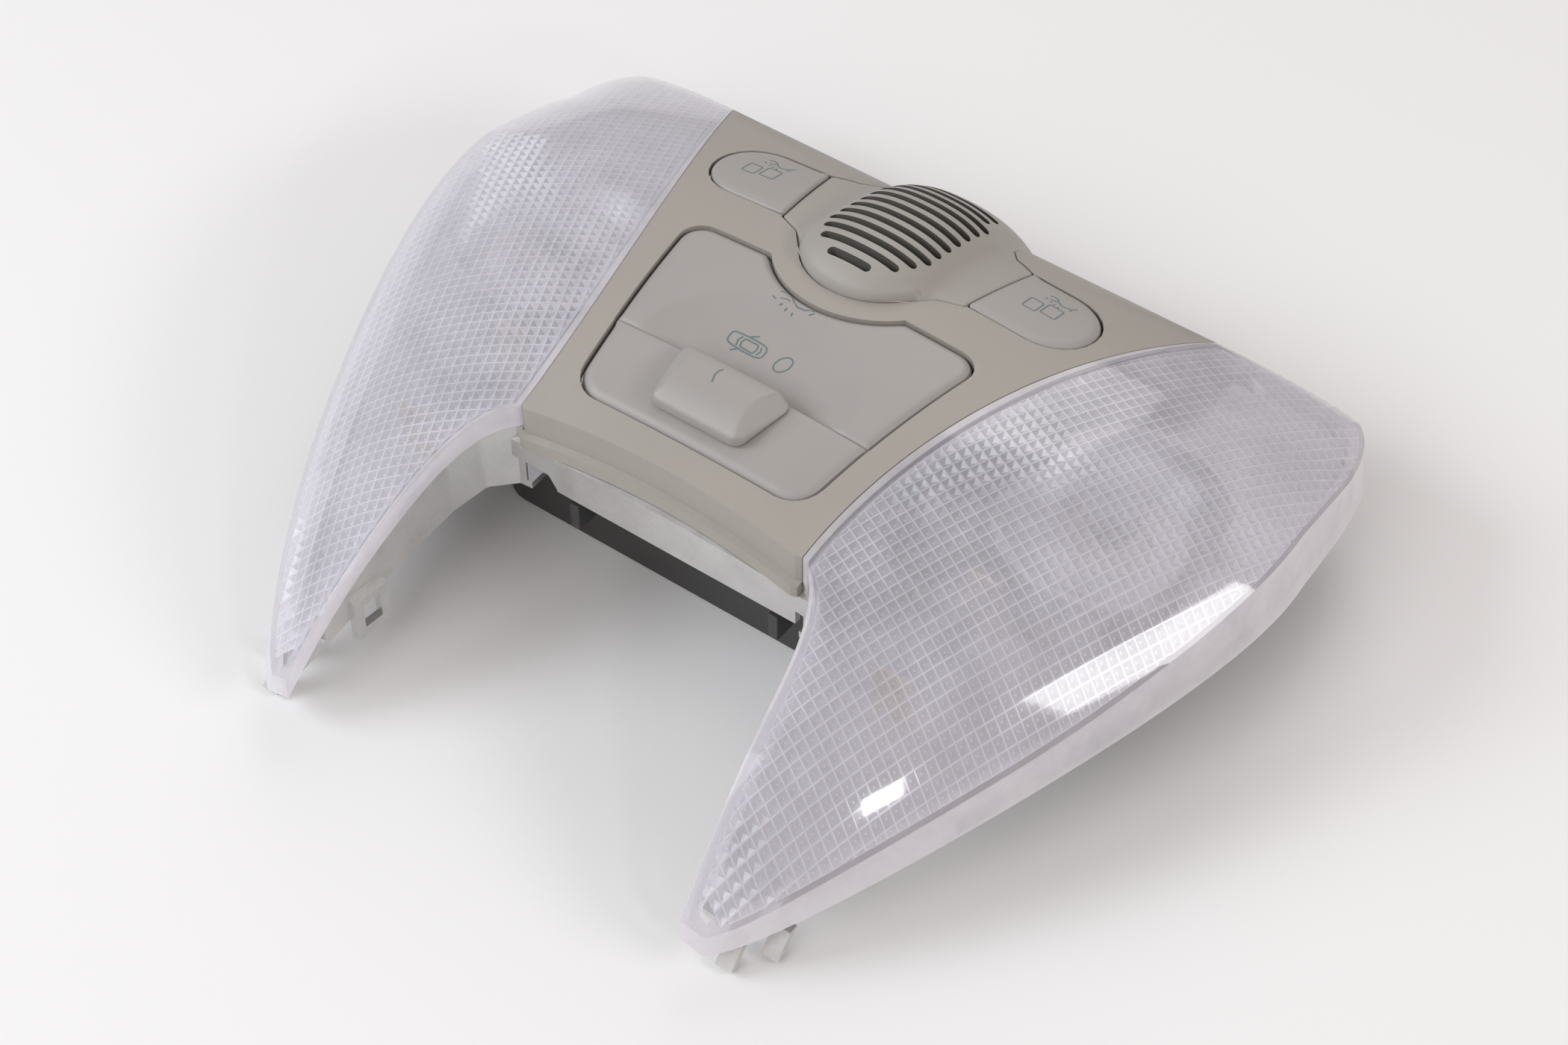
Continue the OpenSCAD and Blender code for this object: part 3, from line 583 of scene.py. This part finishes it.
for name, finish in FINISH.items():
    o = nodes[name]
    o.data.materials.clear()
    o.data.materials.append(finish)
    o.data.polygons.foreach_set("use_smooth", [True] * len(o.data.polygons))
    o.modifiers.new("weld", "WELD").merge_threshold = 0.000002
    if name == "slide_knob":
        melt(o)
        continue
    if name in ROUND:
        soften(o, ROUND[name])
    else:
        split_edges(o, 32)
    o.modifiers.new("even", "WEIGHTED_NORMAL").keep_sharp = False

# Lenses: a clear shell with the prism field under its top, mirrored for the left.
shell_verts, shell_faces, shell_index, top_faces = lens_shell()
lens_tree = BVHTree.FromPolygons([Vector(v) for v in shell_verts], top_faces)
prism_verts, prism_faces, prism_index = prism_sheet(lens_tree)
for side, flip in (("right", False), ("left", True)):
    shell = new_mesh("lens_shell_" + side, shell_verts, shell_faces, [LENS, SKIRT, BORDER],
                     "console", index=shell_index, flip=flip)
    split_edges(shell, 38)
    new_mesh("lens_prisms_" + side, prism_verts, prism_faces, [PRISM, PRISM_HIGHLIGHT_LINE, PRISM_GLINT_DOT],
             "console", smooth=False, index=prism_index, flip=flip)
    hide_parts("lens_" + side)


# Trims, buttons and grille, as caps with soft moulded edges.
def corner_arc(a, b, c):
    """The arc of radius b[2] that rounds the corner b between a and c."""
    corner, r = np.array(b[:2]), b[2]
    u, v = unit(np.subtract(a[:2], b[:2])), unit(np.subtract(c[:2], b[:2]))
    half = math.acos(float(np.dot(u, v))) / 2
    o = corner + unit(u + v) * r / math.sin(half)
    p, q = corner + u * r / math.tan(half), corner + v * r / math.tan(half)
    s = math.atan2(p[1] - o[1], p[0] - o[0])
    e = math.atan2(q[1] - o[1], q[0] - o[0])
    turn = (e - s + math.pi) % (2 * math.pi) - math.pi
    n = max(6, int(abs(turn) * r / 0.5))
    return [tuple(o + r * np.array([math.cos(s + turn * i / n), math.sin(s + turn * i / n)]))
            for i in range(n + 1)]


def rounded(corners):
    """Outline through corners (x, y, radius)."""
    out = []
    for i, q in enumerate(corners):
        after = corners[(i + 1) % len(corners)]
        out += [tuple(q[:2])] if q[2] == 0 else corner_arc(corners[i - 1], q, after)
    return out


def fine_line(pts, step=0.55):
    """The outline in short steps, counter-clockwise."""
    out = []
    for a, b in zip(pts, pts[1:] + pts[:1]):
        a, b = np.array(a, float), np.array(b, float)
        n = max(1, int(round(np.linalg.norm(b - a) / step)))
        out += [a + (b - a) * i / n for i in range(n)]
    area = sum(a[0] * b[1] - b[0] * a[1] for a, b in zip(out, out[1:] + out[:1]))
    return np.array(out if area > 0 else out[::-1])


ROLL_STEPS = (0.04, 0.14, 0.3, 0.52, 0.78, 1.0)  # shares of the edge radius that carry points
ROLL_SLACK, FIELD_FROM = 0.04, 1.25
CAP_SKIRT = 3.6


def pad(outline, top, radius, grid=1.1, lines=(), free=lambda x, y: True):
    """Cap over an outline. Its height comes from top, its rim rolls down, lines are kept in it."""
    line = fine_line(outline)
    n = len(line)
    ring = np.array([radius(q) for q in line])
    for _ in range(4):
        ring = (np.roll(ring, 1) + ring * 2 + np.roll(ring, -1)) / 4
    ahead = np.roll(line, -1, axis=0)
    seg = ahead - line
    along = ahead - np.roll(line, 1, axis=0)
    along /= np.linalg.norm(along, axis=1)[:, None]
    inward = np.stack([-along[:, 1], along[:, 0]], axis=1)

    def gap(q):
        """Distance from q to the outline, and the edge radius at that place."""
        t = np.clip(np.sum((q - line) * seg, axis=1) / np.sum(seg * seg, axis=1), 0, 1)
        d = np.linalg.norm(line + seg * t[:, None] - q, axis=1)
        i = int(np.argmin(d))
        return float(d[i]), float(ring[i] * (1 - t[i]) + ring[(i + 1) % n] * t[i])

    pts = [tuple(q) for q in line]
    for share in ROLL_STEPS:
        for i in range(0, n, 1 if share < 0.5 else 2):
            q = line[i] + inward[i] * ring[i] * share
            if abs(gap(q)[0] - ring[i] * share) < ROLL_SLACK and inside(line, q):
                pts.append(tuple(q))
    lo, hi = line.min(axis=0), line.max(axis=0)
    for x in np.arange(lo[0], hi[0], grid):
        for y in np.arange(lo[1], hi[1], grid):
            q = np.array([x, y])
            if inside(line, q):
                d, r = gap(q)
                if d > r * FIELD_FROM and free(x, y):
                    pts.append((x, y))
    edges = [(i, (i + 1) % n) for i in range(n)]
    for path, closed in lines:
        edges += [(len(pts) + i, len(pts) + (i + 1) % len(path))
                  for i in range(len(path) - (0 if closed else 1))]
        pts += [tuple(q) for q in path]
    co, _, tris, source, *_ = delaunay_2d_cdt([Vector(q) for q in pts], edges, [], 1, 1e-5, True)
    verts = []
    for q in co:
        d, r = gap(np.array(q))
        drop = r - math.sqrt(max(0.0, r * r - max(0.0, r - d) ** 2))
        verts.append((q[0], q[1], top(q[0], q[1]) - drop))
    faces = []
    for f in tris:
        a, b, c = (co[k] for k in f)
        up = (b - a).cross(c - a) > 0
        faces.append(tuple(f) if up else tuple(f[::-1]))
    base = len(verts)
    verts += [(q[0], q[1], top(q[0], q[1]) - CAP_SKIRT) for q in line]
    found = {i: k for k, ids in enumerate(source) for i in ids}
    rim = [found[i] for i in range(n)]
    for i in range(n):
        j = (i + 1) % n
        faces.append((rim[i], base + i, base + j, rim[j]))
    return verts, faces


# Outlines in plan: the trim plate with the round bay for the grille, the band, a button.
GRILLE_Y, BAY_R = 37.2, 19.0
BAY_HALF = math.degrees(math.atan2(14.8, 12.0))  # half the angle of its arc
PLATE_X, PLATE_Y = 27.2, -3.4
PLATE = rounded([(PLATE_X, PLATE_Y, 0), (32, 25.2, 4.5), (-32, 25.2, 4.5),
                 (-PLATE_X, PLATE_Y, 0)])
BAND = rounded([(PLATE_X, PLATE_Y, 0), (-PLATE_X, PLATE_Y, 0), (-24.6, -19.6, 6.5),
                (24.6, -19.6, 6.5)])
BUTTON = rounded([(20.3, 36.7, 0.8), (41.4, 36.7, 9), (41.4, 54.9, 9), (22.8, 54.9, 0.8)])
BUTTON_UP = 0.45


def grille_arc(r, a0, a1, n=26):
    return [(r * math.sin(math.radians(a0 + (a1 - a0) * i / n)),
             GRILLE_Y - r * math.cos(math.radians(a0 + (a1 - a0) * i / n)))
            for i in range(n + 1)]


def plate_outline():
    """The plate's outline, with the bay's arc across the break that it leaves in the rear edge."""
    keep = [tuple(q) for q in fine_line(PLATE) if math.hypot(q[0], q[1] - GRILLE_Y) > BAY_R]
    i = max(range(len(keep)), key=lambda k: abs(keep[k][0] - keep[(k + 1) % len(keep)][0])
            if keep[k][1] > 20 else 0)
    return keep[:i + 1] + grille_arc(BAY_R, BAY_HALF, -BAY_HALF)[1:-1] + keep[i + 1:]


# The dished half moon of the trim plate: a ball of radius DISH_R pressed into the face.
DISH_R, DISH_X, DISH_Y, DISH_REAR = 85.0, -0.5, -10.8, 16.66
DISH_Z = face_z(0, DISH_REAR) + math.sqrt(DISH_R ** 2 - DISH_X ** 2 - (DISH_REAR - DISH_Y) ** 2)
CREASE_STEPS, CREASE_FROM, CREASE_SWEEP, CREASE_CLEAR = 60, 4, 172, 0.5


def bowl_z(x, y):
    return DISH_Z - math.sqrt(max(0.0, DISH_R ** 2 - (x - DISH_X) ** 2 - (y - DISH_Y) ** 2))


def dish(x, y):
    return min(face_z(x, y), bowl_z(x, y))


def crease():
    """Where the dish leaves the face, from one front corner to the other."""
    out = []
    for i in range(CREASE_STEPS + 1):
        a = math.radians(CREASE_FROM + CREASE_SWEEP * i / CREASE_STEPS)
        lo, hi = 2.0, 30.0
        for _ in range(30):
            r = (lo + hi) / 2
            x, y = r * math.cos(a), PLATE_Y + r * math.sin(a)
            lo, hi = (r, hi) if bowl_z(x, y) < face_z(x, y) else (lo, r)
        out.append((lo * math.cos(a), PLATE_Y + lo * math.sin(a)))
    return out


CREASE = crease()


def off_crease(x, y):
    return min(math.hypot(x - a, y - b) for a, b in CREASE) > CREASE_CLEAR


# Raised grille: a dome that runs back over the rear roll, with slots cut across it.
DOME_H, DOME_R, SLOT_W, SLOT_DEEP = 5.6, 13.4, 1.75, 2.4
DOME_TAPER, DOME_SHAPE, DOME_RISE = 1.2, 2.3, 0.55
FADE_Y, FADE_LEN = 66, 9.5
FLANK_Y, FLANK_END, FLANK_H = 33.0, 64, 1.5
SLOT_HALF = [4.6, 8.4, 10.0] + [11.0] * 7 + [9.2] * 2
SLOT_FROM, SLOT_PITCH = 7.5, 1.37  # degrees round the axis of the face
SLOTS = [(half, CREST_Y + FACE_R * math.sin(math.radians(SLOT_FROM + SLOT_PITCH * i)))
         for i, half in enumerate(SLOT_HALF)]
SADDLE = [(15.4, 34.2, 0), (20, 36.4, 0.8), (22.5, 55.2, 1.0), (17.6, 57.2, 1.2),
          (14.8, 60.6, 0), (14, 64, 0), (13.8, 77.6, 0)]
COVER = rounded([(13.6 * math.sin(math.radians(a)), GRILLE_Y - 13.6 * math.cos(math.radians(a)), 0)
                 for a in range(-52, 53, 4)]
                + SADDLE + [(-x, y, r) for x, y, r in reversed(SADDLE)])


def slot_gap(x, y):
    """Distance to the nearest slot, negative inside one."""
    return min(math.hypot(max(0.0, abs(x) - (half - SLOT_W / 2)), y - at) - SLOT_W / 2
               for half, at in SLOTS)


def slot_loop(half, at, off):
    """Outline of a slot, drawn in by off."""
    r, e = SLOT_W / 2 - off, half - SLOT_W / 2
    n = max(3, int(2 * e / 0.9))
    pts = []
    for s in (1, -1):
        pts += [(s * (e * (2 * i / n - 1)), at - s * r) for i in range(n)]
        pts += [(s * (e + r * math.sin(math.radians(a))), at - s * r * math.cos(math.radians(a)))
                for a in range(0, 180, 25)]
    return pts


def cover_z(x, y):
    """Height of the grille: face, dome and flanks, less the depth of a slot."""
    w = DOME_R - DOME_TAPER * min(1.0, max(0.0, (y - GRILLE_Y) / 25))
    q = (abs(x) / w) ** DOME_SHAPE + (max(0.0, GRILLE_Y - y) / DOME_R) ** DOME_SHAPE
    rise = DOME_H * max(0.0, 1 - q) ** DOME_RISE
    if y > FADE_Y:
        rise *= math.sqrt(max(0.0, 1 - ((y - FADE_Y) / FADE_LEN) ** 2))
    if y > FLANK_Y:
        flank = min(1.0, (y - FLANK_Y) / 3) * min(1.0, max(0.0, (FLANK_END - y) / 6))
        rise = max(rise, flank * FLANK_H * math.exp(-max(0.0, abs(x) - w + 0.8) / 2.0))
    return face_z(x, y) + rise - (SLOT_DEEP if slot_gap(x, y) < -0.06 else 0.0)


def add_cap(name, node, outline, top, radius, body="console", flip=False, **more):
    """A trim cap in place of a node of the source; radius gives its edge radius at a point."""
    verts, faces = pad(outline, top, radius, **more)
    piece = new_mesh(name, verts, faces, [TRIM], body, flip=flip)
    split_edges(piece, 60)
    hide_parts(node)


def button_z(x, y):
    return face_z(x, y, -BUTTON_UP)


def button_edge(q):
    return 0.7 if q[0] < 23.5 else 1.5


add_cap("trim_plate", "switch_plate", plate_outline(), dish,
        lambda q: 1.0 if q[1] < -3.0 else 1.7, lines=[(CREASE, False)], free=off_crease)
add_cap("trim_band", "slider_track", BAND, face_z, lambda q: 0.7 if q[1] > -3.7 else 2.0)
add_cap("cap_right", "button_right", BUTTON, button_z, button_edge, "button_r")
add_cap("cap_left", "button_left", BUTTON, button_z, button_edge, "button_l", True)

# Each slot has two loops, at its rim and just inside it, so that its wall stands steep.
grille_verts, grille_faces = pad(
    COVER, cover_z, lambda q: 1.0 if q[1] < FLANK_Y else 0.5, grid=0.75,
    lines=[(slot_loop(half, at, off), True) for half, at in SLOTS for off in (0.0, 0.12)],
    free=lambda x, y: abs(slot_gap(x, y)) > 0.25)
# Faces inside a slot get the painted shade.
dark = [1 if slot_gap(*np.mean([grille_verts[i][:2] for i in q], axis=0)) < -0.02 else 0
        for q in grille_faces]
dome = new_mesh("grille_dome", grille_verts, grille_faces, [GRILLE, SLOT], "console",
                index=dark)
split_edges(dome, 50)
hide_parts("grille_cover")

# Icons: thin inked lines that lie on the trims.
INK_W, INK_LIFT, INK_STEP = 0.32, 0.035, 0.35


def stroke(lines, surface):
    """Thin raised ribbons that follow the surface under each line of points (x, y)."""
    verts, faces = [], []
    for line in lines:
        pts = [np.array(line[0], float)]
        for a, b in zip(line, line[1:]):
            a, b = np.array(a, float), np.array(b, float)
            n = max(1, int(np.linalg.norm(b - a) / INK_STEP))
            pts += [a + (b - a) * (i + 1) / n for i in range(n)]
        closed = np.linalg.norm(pts[0] - pts[-1]) < 1e-6
        if closed:
            pts = pts[:-1]
        rows = []
        count = len(pts)
        for i, q in enumerate(pts):
            a = pts[(i - 1) % count] if closed or i else q
            b = pts[(i + 1) % count] if closed or i < count - 1 else q
            d = unit(b - a)
            half = np.array([-d[1], d[0]]) * INK_W / 2
            row = []
            for k, up in ((-1.0, 0.0), (0.0, 0.5), (1.0, 0.0)):
                r = q + half * k
                hit = surface.ray_cast(Vector((r[0], r[1], 90)), Vector((0, 0, -1)))
                z = hit[0].z if hit[0] is not None else face_z(r[0], r[1])
                row.append(len(verts))
                verts.append((r[0], r[1], z + INK_LIFT * (0.4 + up)))
            rows.append(row)
        if closed:
            rows.append(rows[0])
        for a, b in zip(rows, rows[1:]):
            for k in (0, 1):
                faces.append((b[k], b[k + 1], a[k + 1], a[k]))
    return verts, faces


def oval(cx, cy, rx, ry, turn, n=28):
    t = math.radians(turn)
    pts = [(rx * math.cos(2 * math.pi * i / n), ry * math.sin(2 * math.pi * i / n))
           for i in range(n + 1)]
    return [(cx + x * math.cos(t) - y * math.sin(t), cy + x * math.sin(t) + y * math.cos(t))
            for x, y in pts]


def soft_box(x0, y0, x1, y1, r=0.35):
    """A closed box line with rounded corners."""
    pts = []
    for cx, cy, a in ((x1 - r, y1 - r, 0), (x0 + r, y1 - r, 90), (x0 + r, y0 + r, 180),
                      (x1 - r, y0 + r, 270)):
        pts += [(cx + r * math.cos(math.radians(a + d)), cy + r * math.sin(math.radians(a + d)))
                for d in (0, 30, 60, 90)]
    return pts + [pts[0]]


def lamp_icon(x, y, k):
    """A small lamp with rays and an arm that leads away."""
    return [[(x + a * k, y + b * k) for a, b in line] for line in (
        [(-2.6, 0.9), (-1.9, 1.35), (-1.0, 1.1), (-0.3, 0.3), (0.5, -0.15), (1.6, -0.1),
         (2.6, 0.5), (3.3, 1.3)],
        [(-1.9, -0.1), (-1.2, 0.2), (-0.6, 0.1)], [(-2.9, -0.3), (-2.3, -0.5)],
        [(-1.5, -1.0), (-1.2, -0.6)], [(-0.5, -1.3), (-0.4, -0.8)], [(0.6, -1.5), (0.5, -1.0)],
        [(2.4, -0.4), (2.9, 0.1)])]


# A car seen from above with one door open: body, windows, door.
CAR = [
    [(-9.0, 4.9), (-9.05, 6.3), (-8.6, 6.8), (-7.0, 7.05), (-4.9, 7.2), (-3.0, 7.15),
     (-1.9, 6.9), (-1.5, 6.2), (-1.5, 5.0), (-1.9, 4.4), (-3.1, 4.15), (-5.2, 4.1),
     (-7.4, 4.2), (-8.6, 4.4), (-9.0, 4.9)],
    [(-6.9, 4.5), (-7.25, 5.6), (-6.9, 6.7)], [(-6.2, 4.7), (-6.45, 5.6), (-6.2, 6.5)],
    [(-3.5, 4.6), (-3.2, 5.6), (-3.5, 6.6)], [(-2.7, 4.7), (-2.4, 5.6), (-2.7, 6.5)],
    [(-6.2, 6.5), (-3.5, 6.6)], [(-6.2, 4.7), (-3.5, 4.6)],
    [(-5.9, 7.15), (-4.4, 8.2)], [(-6.2, 4.1), (-7.2, 3.1)]]


def surface_of(obj):
    return BVHTree.FromPolygons([v.co / MM for v in obj.data.vertices],
                                [tuple(q.vertices) for q in obj.data.polygons])


KNOB_MARK = [(-1.7, -5.9), (-2.05, -6.8), (-2.0, -8.0), (-1.4, -9.6)]
for name, body, under, lines in (
        ("icon_plate", "console", bpy.data.objects["trim_plate"],
         CAR + [oval(2.7, 5.4, 1.35, 1.85, -25)] + lamp_icon(-3.0, 16.5, 1.5)),
        ("icon_knob", "knob", nodes["slide_knob"], [KNOB_MARK]),
        ("icon_button_right", "button_r", bpy.data.objects["cap_right"],
         [soft_box(27.0, 44.2, 29.7, 47.6), soft_box(30.4, 44.9, 33.5, 48.3)]
         + lamp_icon(31.4, 49.9, 0.95)),
        ("icon_button_left", "button_l", bpy.data.objects["cap_left"],
         [soft_box(-35.5, 44.3, -32.8, 47.6), soft_box(-31.9, 45.0, -28.9, 48.4)]
         + lamp_icon(-31.2, 50.0, 0.95))):
    ink_verts, ink_faces = stroke(lines, surface_of(under))
    new_mesh(name, ink_verts, ink_faces, [INK], body, smooth=False)

# Stage and lights, in metres.
FLOOR_HALF, FLOOR_DROP = 3.0, 0.0002


def floor():
    m, t, out = tree_of("floor_pale")
    p = t.nodes.new("ShaderNodeBsdfPrincipled")
    p.inputs["Base Color"].default_value = (0.86, 0.845, 0.84, 1)
    p.inputs["Roughness"].default_value = 0.7
    p.inputs["Specular IOR Level"].default_value = 0.2
    feed(t, out.inputs["Surface"], p.outputs["BSDF"])
    mesh = bpy.data.meshes.new("floor")
    s = FLOOR_HALF
    mesh.from_pydata([(-s, -s, 0), (s, -s, 0), (s, s, 0), (-s, s, 0)], [], [(0, 1, 2, 3)])
    mesh.materials.append(m)
    obj = bpy.data.objects.new("floor", mesh)
    obj.location.z = cad_bounds[0][2] - FLOOR_DROP
    scene.collection.objects.link(obj)


def lamp(name, place, target, size_x, size_y, power, colour):
    """A square or oblong light at a place, turned to its target."""
    data = bpy.data.lights.new(name, "AREA")
    data.shape = "RECTANGLE"
    data.size = size_x
    data.size_y = size_y
    data.energy = power
    data.color = colour
    obj = bpy.data.objects.new(name, data)
    obj.location = place
    obj.rotation_euler = (Vector(target) - Vector(place)).to_track_quat("-Z", "Y").to_euler()
    scene.collection.objects.link(obj)


floor()
world = bpy.data.worlds.new("studio")
scene.world = world
world.use_nodes = True
world.node_tree.nodes["Background"].inputs[0].default_value = (1.0, 0.94, 0.92, 1)
world.node_tree.nodes["Background"].inputs[1].default_value = 0.37
CENTRE, WHITE = (0, 0, 0.02), (1, 1, 1)
lamp("key", (-0.73, -0.53, 0.66), CENTRE, 0.5, 0.5, 6.2, (0.86, 0.94, 1.0))
lamp("front", (-0.05, -0.85, 0.8), CENTRE, 0.7, 0.7, 3.2, WHITE)
lamp("rear", (-0.3, 0.8, 0.75), CENTRE, 0.6, 0.6, 2.3, (1.0, 0.965, 0.95))
# the streak along the right lens, and the small highlight near its tip
lamp("side", (0.86, 0.12, 0.55), (0.07, 0, 0.03), 0.5, 0.16, 2.6, WHITE)
lamp("spark", (0.746, -0.389, 0.502), (0.061, -0.047, 0.025), 0.09, 0.06, 0.6, WHITE)
